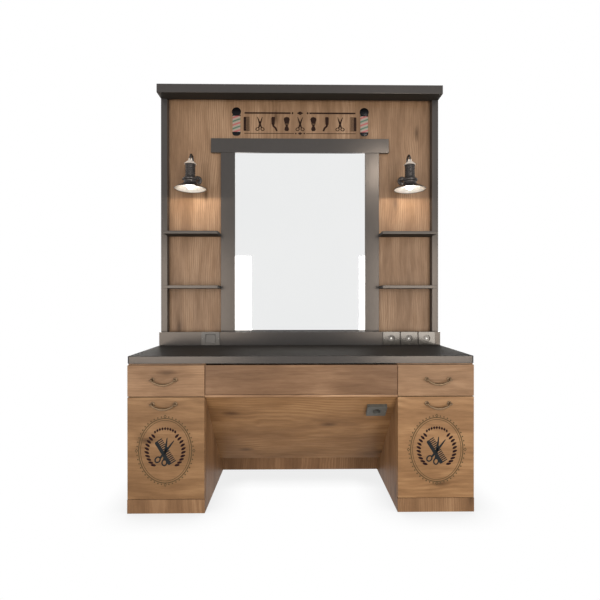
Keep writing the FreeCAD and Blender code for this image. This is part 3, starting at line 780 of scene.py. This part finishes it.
def lampParts():
    # Each part of the head, drawn about the lamp's own upright axis at true height.
    z = lamp
    r, s, n = z["rim"], z["shadeTop"], z["neckTop"]
    shadeOuter = [(41, s + 0.2), (47, s - 3.0), (55, s - 7.4), (66, s - 13.4), (78, s - 20.0),
                  (88, s - 25.6), (94.6, s - 29.2), (96.6, r + 1.6), (97.8, r), (96.6, r - 1.7),
                  (94.6, r - 1.8), (93.4, r - 0.2), (87, s - 27.6), (77, s - 21.8),
                  (65, s - 15.2), (54, s - 9.2), (46, s - 4.6), (41, s - 1.8), (41, s + 0.2)]
    lining = [(0, s - 2.4), (40, s - 2.4), (46, s - 5.2), (54, s - 9.8), (65, s - 15.8),
              (77, s - 22.4), (87, s - 28.2), (93, r + 0.2), (92.2, r + 0.2), (86, s - 29.0),
              (76, s - 23.2), (64, s - 16.6), (53, s - 10.6), (45, s - 6.0), (39.4, s - 3.3),
              (0, s - 3.3)]
    collar = [(0, s), (42, s), (42, s + 1.4), (40.4, s + 4.6), (39, s + 8), (38.6, s + 14),
              (40, s + 17.4), (44.4, s + 19.4), (46, s + 21.2), (46, s + 28.8), (44.8, s + 30.6),
              (41, s + 32.2), (38.6, s + 34), (36, s + 36.6), (34, s + 38.4), (33.6, s + 43.2),
              (32, s + 44.8), (0, s + 45)]
    neck = [(0, z["collarTop"])]
    pitch = (n - z["collarTop"]) / z["ribs"]
    for index in range(z["ribs"]):
        start = z["collarTop"] + pitch * index
        neck += [(27.2, start + 0.6), (27.2, start + pitch * 0.3), (29.0, start + pitch * 0.4),
                 (29.9, start + pitch * 0.55), (29.9, start + pitch * 0.8),
                 (29.0, start + pitch * 0.92)]
    neck += [(27.2, n), (0, n)]
    cap = [(0, n), (34.6, n), (36, n + 0.8), (36, n + 2.6), (34.8, n + 4), (28, n + 10),
           (20, n + 17), (14, n + 22.4), (11, n + 24.6), (9.6, n + 25), (0, n + 25)]
    bulb = [(0, r - 2), (6, r - 1.3), (12, r + 1), (17.6, r + 5.2), (22, r + 11.1),
            (24.6, r + 18.4), (25, r + 23), (24.2, s - 3.4), (0, s - 3.4)]
    return {"Shade": (shadeOuter, "gunmetal", 96), "Lining": (lining, "enamel", 96),
            "Collar": (collar, "gunmetal", 72), "Neck": (neck, "gunmetal", 72),
            "Cap": (cap, "satin", 64), "Bulb": (bulb, "bulb", 48)}


def knuckle():
    # Two rounded cheeks and the pin between them.
    z = lamp
    shape = startPiece()
    for middle in (-5.8, 5.8):
        pour(shape, lathe([(0, -2.5), (5.8, -2.5), (6.5, -1.8), (6.5, 1.8), (5.8, 2.5), (0, 2.5)],
                          32, at(middle, 0, z["pivot"]) @ layAcross))
        addBoard(shape, (middle - 2.5, -6.5, z["capTop"] - 3), (middle + 2.5, 6.5, z["pivot"]), 2,
                 0.8)
    pour(shape, lathe([(0, -10.4), (3.4, -10.4), (4.4, -9.6), (4.4, -8.3), (2.4, -8.3),
                       (2.4, 8.3), (4.4, 8.3), (4.4, 9.6), (3.4, 10.4), (0, 10.4)], 24,
                      at(0, 0, z["pivot"]) @ layAcross))
    return shape


def thumbScrews():
    # Three screws on the collar, a third of a turn apart.
    shape = startPiece()
    profile = [(0, 44), (2, 44), (2, 46.4), (3.4, 47), (4, 47.8), (4, 49.4), (3.2, 50.2),
               (0, 50.4)]
    for angle in (180, 300, 420):
        pour(shape, lathe(profile, 20, at(0, 0, lamp["shadeTop"] + 25)
                          @ Matrix.Rotation(math.radians(angle), 4, "Z") @ layAcross))
    return shape


def bracket():
    # The rose on the wall, the swan neck and its tongue, drawn at x = 0 for the front face.
    z = lamp
    shape = startPiece()
    wall, level, end = -upright["wall"], z["plateZ"], z["armEnd"]
    low, top = z["lowBend"], z["topBend"]
    y0, y1 = z["y"] + 2 * top, z["y"]
    rose = [(0, 0), (30, 0), (30, 4.2), (28.8, 6.4), (26.4, 7.6), (24.4, 8.8), (16, 9.8),
            (12, 10), (10.8, 13), (8.4, 15.6), (7.2, 19), (0, 19)]
    pour(shape, lathe(rose, 72, at(0, wall, level) @ standUp))
    quarter = 0.5523    # the reach that makes a quarter of a circle, as a share of its radius
    knots = [
        ((0, wall - 8, level), (0, -1, 0), 1, 12, 1),
        ((0, y0 + low, level), (0, -1, 0), 12, low * quarter, 1),
        ((0, y0, level + low), (0, 0, 1), low * quarter, 8, 1),
        ((0, y0, end), (0, 0, 1), 8, top * quarter, 1),
        ((0, y0 - top, end + top), (0, -1, 0), top * quarter, top * quarter, 1),
        ((0, y1, end), (0, 0, -1), top * quarter, 1, 1),
    ]
    pour(shape, tube(knots, z["arm"], 5, 14))
    ferrule = [(0, -4), (5.6, -4), (6.8, -3), (6.8, 3), (5.6, 4), (0, 4)]
    pour(shape, lathe(ferrule, 32, at(0, y1, end + 5.4)))
    addBoard(shape, (-2.9, y1 - 4.8, z["pivot"]), (2.9, y1 + 4.8, end + 1), 2, 0.6)
    eye = [(0, -2.9), (4.4, -2.9), (4.9, -2.4), (4.9, 2.4), (4.4, 2.9), (0, 2.9)]
    pour(shape, lathe(eye, 32, at(0, y1, z["pivot"]) @ layAcross))
    return shape


def lampGlow(name, place, body):
    light = bpy.data.lights.new(name, "SPOT")
    light.energy = lamp["glow"]
    light.color = lamp["warm"]
    light.spot_size = math.radians(179)
    light.spot_blend = 0.04
    light.shadow_soft_size = 0.02
    source = bpy.data.objects.new(name, light)
    source.matrix_world = place @ at(0, 0, lamp["rim"] + 4)
    scene.collection.objects.link(source)
    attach(source, body)


def buildLamps():
    arms, arm, parts = startPiece(), bracket(), lampParts()
    joints = [("Knuckle", knuckle(), "satin"), ("ThumbScrews", thumbScrews(), "gunmetal")]
    for face, turn in workFaces:
        for side, sign in handSides:
            across = at(sign * lamp["x"], 0, 0)
            onAxis = turn @ across @ at(0, lamp["y"], 0)
            pour(arms, placedCopy(arm, turn @ across))
            body = face + "_" + side + "_lamp_head"
            name = face + side.capitalize() + "Lamp"
            for part, (profile, finish, steps) in parts.items():
                finishPiece(lathe(profile, steps, onAxis), name + part, [finish],
                            [body] if part == "Shade" else (), body, 48)
            for part, shape, finish in joints:
                finishPiece(placedCopy(shape, onAxis), name + part, [finish],
                            body=body, sharp=40)
            lampGlow(name + "Glow", onAxis, body)
    finishPiece(arms, "lampArms", ["gunmetal"], ["lamp_brackets"], sharp=40)
    for shape in (arm, joints[0][1], joints[1][1]):
        shape.free()


# Sockets, switches and their screws
electric = {"sockets": (583, 697, 811), "level": 856, "splash": -100, "plate": 8, "switch": -572,
            "bore": 40, "drawnOut": 3, "lowX": 404, "lowAlong": 110, "sleeve": 9.5,
            "rocker": (31, 7, 29), "axle": (1.5, 33),
            "screws": {"socket": 43.5, "switch": 51, "low": (45.5, -20), "rose": 21,
                       "roseFace": -26.8}}


def slopePlace():
    # Takes a piece drawn on the plane y = 0 to the low socket's place on the knee panel.
    c, (run, fall) = carcass, slope
    share = electric["lowAlong"] / math.hypot(run, fall)
    return (at(electric["lowX"], -c["slopeTop"] + run * share, c["deckBottom"] - fall * share)
            @ Matrix.Rotation(math.atan2(run, fall), 4, "X"))


def wellInsert():
    # A round insert with two contact sleeves, on the plane y = 0 and facing -Y.
    shape = lathe([(0, 0), (20.7, 0), (20.7, 1.7), (20.2, 2.2), (18.6, 2.2), (17.6, 1.2),
                   (7.2, 1.0), (6.6, 0.3), (0, 0.3)], 48, standUp)
    for x in (-electric["sleeve"], electric["sleeve"]):
        pour(shape, lathe([(0, 0.2), (3, 0.2), (3, 2.0), (2.6, 2.3), (2.1, 2.2), (1.9, 1.2),
                           (0, 1.2)], 20, at(x, 0, 0) @ standUp), 1)
    return shape


def paintedGlintDish():
    # The shallow metal dish in the middle of a well; its pale colour is a painted highlight.
    return lathe([(0, 0.3), (6.4, 0.3), (6.4, 2.1), (5.9, 2.2), (4.8, 1.5), (3.2, 1.0), (1.6, 0.8),
                  (0, 0.75)], 32, standUp)


def easePlates(shape):
    # Eases the front edges of plates that lie on the splash boards.
    front = (electric["plate"] - electric["splash"]) * mm
    easeEdges(shape, lambda edge: all(abs(abs(vert.co.y) - front) < 0.2 * mm
                                      for vert in edge.verts), 1.2)


def screwPlaces():
    e, screws = electric, electric["screws"]
    face = e["splash"] - e["plate"]
    places = [at(x + side * screws["socket"], face, e["level"])
              for x in e["sockets"] for side in (-1, 1)]
    places += [at(e["switch"] + side * screws["switch"], face, e["level"]) for side in (-1, 1)]
    for side in (-1, 1):
        for angle in (30, 150, 270):
            turn = math.radians(angle)
            places.append(at(side * lamp["x"] + screws["rose"] * math.cos(turn),
                             screws["roseFace"],
                             lamp["plateZ"] + screws["rose"] * math.sin(turn)))
    across, inward = screws["low"]
    return places + [slopePlace() @ at(side * across, inward, 0) for side in (-1, 1)]


def buildSockets():
    e = electric
    plates = cadCopy("socket_plates")
    for vert in plates.verts:    # draws the plates' sides out, so that they nearly meet
        turn = -1 if vert.co.y > 0 else 1
        middle = min(e["sockets"], key=lambda x: abs(turn * vert.co.x - x * mm)) * mm
        reach = turn * vert.co.x - middle
        if abs(reach) > e["bore"] * mm:
            vert.co.x += turn * math.copysign(e["drawnOut"] * mm, reach)
    easePlates(plates)
    finishPiece(plates, "socketPlates", ["steel"], ["socket_plates"], sharp=30)
    boxes = cadCopy("low_socket_boxes")
    easeEdges(boxes, lambda edge: True, 1.0)
    finishPiece(boxes, "lowSocketBoxes", ["grey"], ["low_socket_boxes"], sharp=30)
    bolt = lathe([(0, 0), (3.0, 0), (3.0, 0.8), (2.4, 1.5), (1.5, 1.6), (1.5, 0.6), (0, 0.6)], 24,
                 standUp)
    wells = [at(x, e["splash"], e["level"]) for x in e["sockets"]] + [slopePlace()]
    for source, places, name, materials, slot, nodes, sharp in (
            (wellInsert(), wells, "socketWells", ["wellSteel", "black"], "socket_black",
             ["socket_wells"], 33),
            (paintedGlintDish(), wells, "paintedGlintDishes", ["glintDish"], "screw_steel", (), 40),
            (bolt, screwPlaces(), "plateScrews", ["screw"], "screw_steel", ["plate_screws"], 33)):
        shape = startPiece()
        for turn in turns:
            for place in places:
                pour(shape, placedCopy(source, turn @ place))
        finishPiece(shape, name, materials, nodes, sharp=sharp)
        source.free()


def buildSwitches():
    e = electric
    plates = cadCopy("switch_plates")
    easePlates(plates)
    finishPiece(plates, "switchPlates", ["darkSteel"], ["switch_plates"], sharp=30)
    x, y, z = e["switch"], e["splash"] - 3.4, e["level"]
    wide, deep, tall = e["rocker"]
    radius, reach = e["axle"]
    for face, turn in workFaces:
        shape = startPiece()
        addBoard(shape, (x - wide, y - deep, z - tall), (x + wide, y, z + tall), 0, 1.6)
        front = min(shape.faces, key=lambda found: (round(found.normal.y, 2), -found.calc_area()))
        bmesh.ops.inset_region(shape, faces=[front], thickness=5 * mm)
        bmesh.ops.translate(shape, verts=list(front.verts), vec=(0, 1.2 * mm, 0))
        pour(shape, lathe([(0, -reach), (radius, -reach), (radius, reach), (0, reach)], 16,
                          at(x, y - deep / 2, z) @ layAcross))
        moved(shape, turn)
        node = face + "_switch_rocker"
        finishPiece(shape, face + "SwitchRocker", ["darkSteel"], [node], node)


# Ornaments: a row of tools between two barber's poles over the mirror, and a medallion on each
# deep drawer. They are drawn flat about their own middle in millimetres, then stood up.
signRow = {"level": 2262, "gap": 88, "stretch": 1.35, "poles": (-419, 424), "poleFoot": 2183,
           "flat": 0.1, "rules": ((62, 366, 72, 5), (40, 368, -62, 2)),
           "jewels": ((72, 22, 12), (-62, 16, 9))}
medallion = {"x": 704, "level": 325, "oval": (139, 169), "rings": ((0, 5.0), (11, 3.2)),
             "beads": 48, "ends": (148, 176), "spray": (94, 98), "leaves": 10,
             "arch": (98, 114), "buds": 9}


def inkPlate(target, loops, finish=0, thick=0.9):
    # Closed outlines, filled, with a hole where one lies inside another.
    data = bpy.data.curves.new("passing", "CURVE")
    data.dimensions = "2D"
    data.fill_mode = "BOTH"
    data.extrude = thick / 2 * mm
    for loop in loops:
        line = data.splines.new("POLY")
        line.points.add(len(loop) - 1)
        for point, (x, y) in zip(line.points, loop):
            point.co = (x * mm, y * mm, 0, 1)
        line.use_cyclic_u = True
    pour(target, curveShape(data), finish)


def oval(x, y, halfWidth, halfHeight, steps=48):
    return [(x + halfWidth * math.cos(math.tau * step / steps),
             y + halfHeight * math.sin(math.tau * step / steps)) for step in range(steps)]


def turned(loops, angle, x=0.0, y=0.0, scale=1.0, flip=1):
    c, s = math.cos(math.radians(angle)) * scale, math.sin(math.radians(angle)) * scale
    return [[(x + flip * (px * c - py * s), y + px * s + py * c) for px, py in loop]
            for loop in loops]


def combMark():
    outline = [(-15, 43), (-15, -43), (-12, -46)]
    for tooth in range(14):
        low = -46 + 6.8 * tooth
        outline += [(15, low), (15, low + 3.8)]
        if tooth < 13:
            outline += [(-3, low + 3.8), (-3, low + 6.8)]
    return [[outline + [(-12, 46)]]]


def scissorsMark():
    plates = []
    for side in (-1, 1):
        blade = [(-3.4, -27), (3.4, -27), (4.0, 6), (3.0, 26), (0.4, 48), (-2.2, 46), (-4.0, 8)]
        plates.append(turned([blade], side * 15))
        plates.append(turned([oval(side * 3, -36, 10, 12), oval(side * 3, -36, 5.4, 7.4)],
                             side * 15))
    return plates


def razorMark():
    blade = [(-9, -2), (-10, 40), (-6, 47), (5, 47), (8, 43), (6, -2)]
    tang = [(-4, -12), (3, -12), (5, -2), (-7, -2)]
    handle = [(-5, -6), (3, -9), (15, -24), (21, -45), (13, -48), (7, -31), (-5, -15)]
    return [[blade], [tang], [handle]]


def brushMark():
    fan = [(-10, 4), (10, 4), (15, 32), (11, 43), (0, 47), (-11, 43), (-15, 32)]
    handle = [(-8, -3), (-5, -14), (-10, -26), (-11, -37), (-7, -46), (7, -46), (11, -37),
              (10, -26), (5, -14), (8, -3)]
    return [[fan], [[(-11, -1.5), (11, -1.5), (11, 3), (-11, 3)]], [handle]]


def diamond(x, y, halfWidth, halfHeight):
    return [[(x - halfWidth, y), (x, y - halfHeight), (x + halfWidth, y), (x, y + halfHeight)]]


def barberPole():
    # A pole at true height, its drawing kept in the "grain" attribute.
    foot = signRow["poleFoot"]
    shape = startPiece()
    for profile, finish in (
            ([(0, 0), (13, 0.8), (21, 5), (26.5, 13), (28, 22), (26, 26), (0, 26)], 0),
            ([(0, 25), (25.5, 25), (25.5, 134), (0, 134)], 1),
            ([(0, 131), (27.5, 131), (28, 135), (26, 138), (0, 138)], 0),
            ([(30 * math.sin(math.pi * step / 24), 158 - 30 * math.cos(math.pi * step / 24))
              for step in range(25)], 0)):
        pour(shape, lathe([(radius, foot + height) for radius, height in profile], 48), finish)
    grain = shape.verts.layers.float_vector["grain"]
    for vert in shape.verts:
        vert[grain] = vert.co
    shape.normal_update()
    return shape


def buildSign():
    r, wall = signRow, -upright["wall"]
    row = [combMark(), scissorsMark(), razorMark(), brushMark(), scissorsMark(), brushMark(),
           razorMark(), scissorsMark(), combMark()]
    shape = startPiece()
    middle = len(row) // 2
    for index, mark in enumerate(row):
        for plate in mark:
            wider = [[(x * r["stretch"], y) for x, y in loop] for loop in plate]
            inkPlate(shape, turned(wider, 0, (index - middle) * r["gap"],
                                   flip=1 if index < middle else -1))
    for side in (-1, 1):
        for low, high, y, half in r["rules"]:
            x0, x1 = sorted((side * low, side * high))
            inkPlate(shape, [[(x0, y - half), (x1, y - half), (x1, y + half), (x0, y + half)]])
            inkPlate(shape, diamond(side * (low - 12), y, 7, 4 + half))
    for y, halfWidth, halfHeight in r["jewels"]:
        inkPlate(shape, diamond(0, y, halfWidth, halfHeight))
    pole = barberPole()
    for face, turn in workFaces:
        finishPiece(placedCopy(shape, turn @ at(0, wall, r["level"]) @ standUp),
                    face + "SignMarks", ["ink"])
        poles = startPiece()
        for x in r["poles"]:    # pressed nearly flat, in low relief
            pressed = turn @ at(x, wall, 0) @ Matrix.Diagonal((1, r["flat"], 1, 1))
            pour(poles, placedCopy(pole, pressed), None)
        finishPiece(poles, face + "SignPoles", ["gloss", "stripes"])
    shape.free()
    pole.free()


def buildMedallions():
    m = medallion
    shape = startPiece()
    rx, ry = m["oval"]
    for inset, width in m["rings"]:
        inkPlate(shape, [oval(0, 0, rx - inset, ry - inset, 96),
                         oval(0, 0, rx - inset - width, ry - inset - width, 96)])
    for step in range(m["beads"]):
        angle = math.tau * step / m["beads"]
        if step % 12:
            inkPlate(shape, [oval((rx + 6) * math.cos(angle), (ry + 6) * math.sin(angle), 4.0,
                                  4.0, 10)])
    for x, y in ((m["ends"][0], 0), (-m["ends"][0], 0), (0, m["ends"][1]), (0, -m["ends"][1])):
        inkPlate(shape, diamond(x, y, 8.5, 10.5) + diamond(x, y, 4.0, 5.5))
    outline = [(-11, 0), (-6, 4.6), (1, 5.6), (8, 3.4), (12, 0), (8, -3.2), (1, -4.6), (-6, -3.8)]
    for side in (-1, 1):
        for leaf in range(m["leaves"]):
            degrees = -50 + 100 * leaf / (m["leaves"] - 1)
            angle = math.radians(degrees)
            x, y = m["spray"][0] * math.cos(angle), m["spray"][1] * math.sin(angle)
            inkPlate(shape, turned([outline], 28 + degrees * 0.35, side * x, y, 1.25, side), 1)
    for step in range(m["buds"]):
        angle = math.radians(58 + 8 * step)
        inkPlate(shape, diamond(m["arch"][0] * math.cos(angle), m["arch"][1] * math.sin(angle),
                                6.4, 9), 1)
    for plate in combMark():
        inkPlate(shape, turned(plate, 32, 0, -6, 1.5), 2)
    for plate in scissorsMark():
        inkPlate(shape, turned(plate, -24, 0, -6, 1.55), 2, 1.1)
    for face, turn in workFaces:
        for side, sign in handSides:
            place = turn @ at(sign * m["x"], -carcass["front"], m["level"]) @ standUp
            finishPiece(placedCopy(shape, place), face + side.capitalize() + "Medallion",
                        ["olive", "maroon", "slate"], body=face + "_" + side + "_deep_drawer")
    shape.free()


# Light and floor
studio = {"room": 0.88, "ceiling": 0.44, "ground": (0.42, 0.34, 0.27), "floorRadius": 5.5,
          "contact": 0.2, "shadow": 0.84, "boxY": -4.5, "boxTint": (1.0, 0.96, 0.91)}
softboxes = [    # name, x from, x to, z from, z to, radiance, seen only as a gloss
    ("leftNear", -1.25, -0.804, 0.0, 1.856, 4.0, False),
    ("leftFar", -2.75, -1.25, 0.0, 2.15, 6.0, False),
    ("rightNear", 1.097, 1.3, 0.0, 1.856, 4.0, False),
    ("rightFar", 1.3, 2.8, 0.0, 2.15, 8.4, False),
    ("leftLow", -2.9, -1.85, 0.02, 1.3, 9.0, True),
    ("rightLow", 1.95, 2.95, 0.02, 1.3, 5.0, True),
    ("rightHigh", 1.36, 1.6, 3.2, 3.46, 165.0, True)]


def buildRoom():
    # White to the camera, softer to every other ray and darker overhead.
    world = bpy.data.worlds.new("studioWorld")
    scene.world = world
    world.use_nodes = True
    tree = world.node_tree
    tree.nodes.clear()
    back = addNode("Background", {"Color": (1, 1, 1, 1)}, tree)
    addNode("OutputWorld", {"Surface": back.outputs[0]})
    direction = addNode("TexCoord", {}, tree).outputs["Generated"]
    height = addNode("SeparateXYZ", {0: direction}).outputs[2]
    room = ranged(height, 0.35, 0.9, studio["room"], studio["ceiling"])
    seen = addNode("LightPath", {}, tree).outputs["Is Camera Ray"]
    feed(back, {"Strength": addNode("Mix", {0: seen, 2: room, 3: 1.0}).outputs[0]})


def addSoftbox(name, x0, x1, z0, z1, radiance, glossOnly, turn):
    light = bpy.data.lights.new(name, "AREA")
    light.shape = "RECTANGLE"
    light.size, light.size_y = x1 - x0, z1 - z0
    light.energy = radiance * math.pi * (x1 - x0) * (z1 - z0)
    light.color = studio["boxTint"]
    box = bpy.data.objects.new(name, light)
    middle = Matrix.Translation(((x0 + x1) / 2, studio["boxY"], (z0 + z1) / 2))
    box.matrix_world = turn @ middle @ standUp
    box.visible_camera = False
    box.visible_diffuse = not glossOnly
    scene.collection.objects.link(box)


def floorFinish():
    # White to the camera and to mirrors, with a faint contact shadow painted in from ambient
    # occlusion; a plain floor to the rest.
    material, shader = newFinish("studioFloor", Roughness=0.8, Base_Color=(*studio["ground"], 1))
    tree = material.node_tree
    nearness = addNode("AmbientOcclusion", {"Distance": studio["contact"]}, tree, samples=8)
    paintedContactShade = ranged(nearness.outputs["AO"], 0.5, 1.0, studio["shadow"], 1.0)
    rays = addNode("LightPath", {}, tree).outputs
    mirrored = ranged(rays["Is Camera Ray"], 0.0, 1.0, studio["room"], 1.0)
    glow = addNode("Emission", {"Strength": sums("MULTIPLY", paintedContactShade, mirrored)})
    seen = sums("MAXIMUM", rays["Is Camera Ray"], rays["Is Glossy Ray"])
    both = addNode("MixShader", {0: seen, 1: shader.outputs[0], 2: glow.outputs[0]})
    out = next(node for node in tree.nodes if node.type == "OUTPUT_MATERIAL")
    feed(out, {"Surface": both.outputs[0]})
    return material


def buildStudio():
    buildRoom()
    for box in softboxes:
        addSoftbox(*box, Matrix())
    for box in softboxes:
        if not box[6]:    # the same light on the rear
            addSoftbox(*box, halfTurn)
    shape = bmesh.new()
    bmesh.ops.create_circle(shape, cap_ends=True, segments=96, radius=studio["floorRadius"])
    mesh = bpy.data.meshes.new("studioFloor")
    shape.to_mesh(mesh)
    shape.free()
    mesh.materials.append(floorFinish())
    floor = bpy.data.objects.new("studioFloor", mesh)
    scene.collection.objects.link(floor)


buildStudio()
print("studio ready")
buildCarcass()
buildKneePanels()
buildWorktop()
print("carcass built")
buildRunners()
buildDrawers()
print("drawers built")
buildUpright()
buildMirrors()
print("upright part built")
buildLamps()
print("lamps built")
buildSockets()
buildSwitches()
print("sockets and switches built")
buildSign()
buildMedallions()
print("ornaments set")
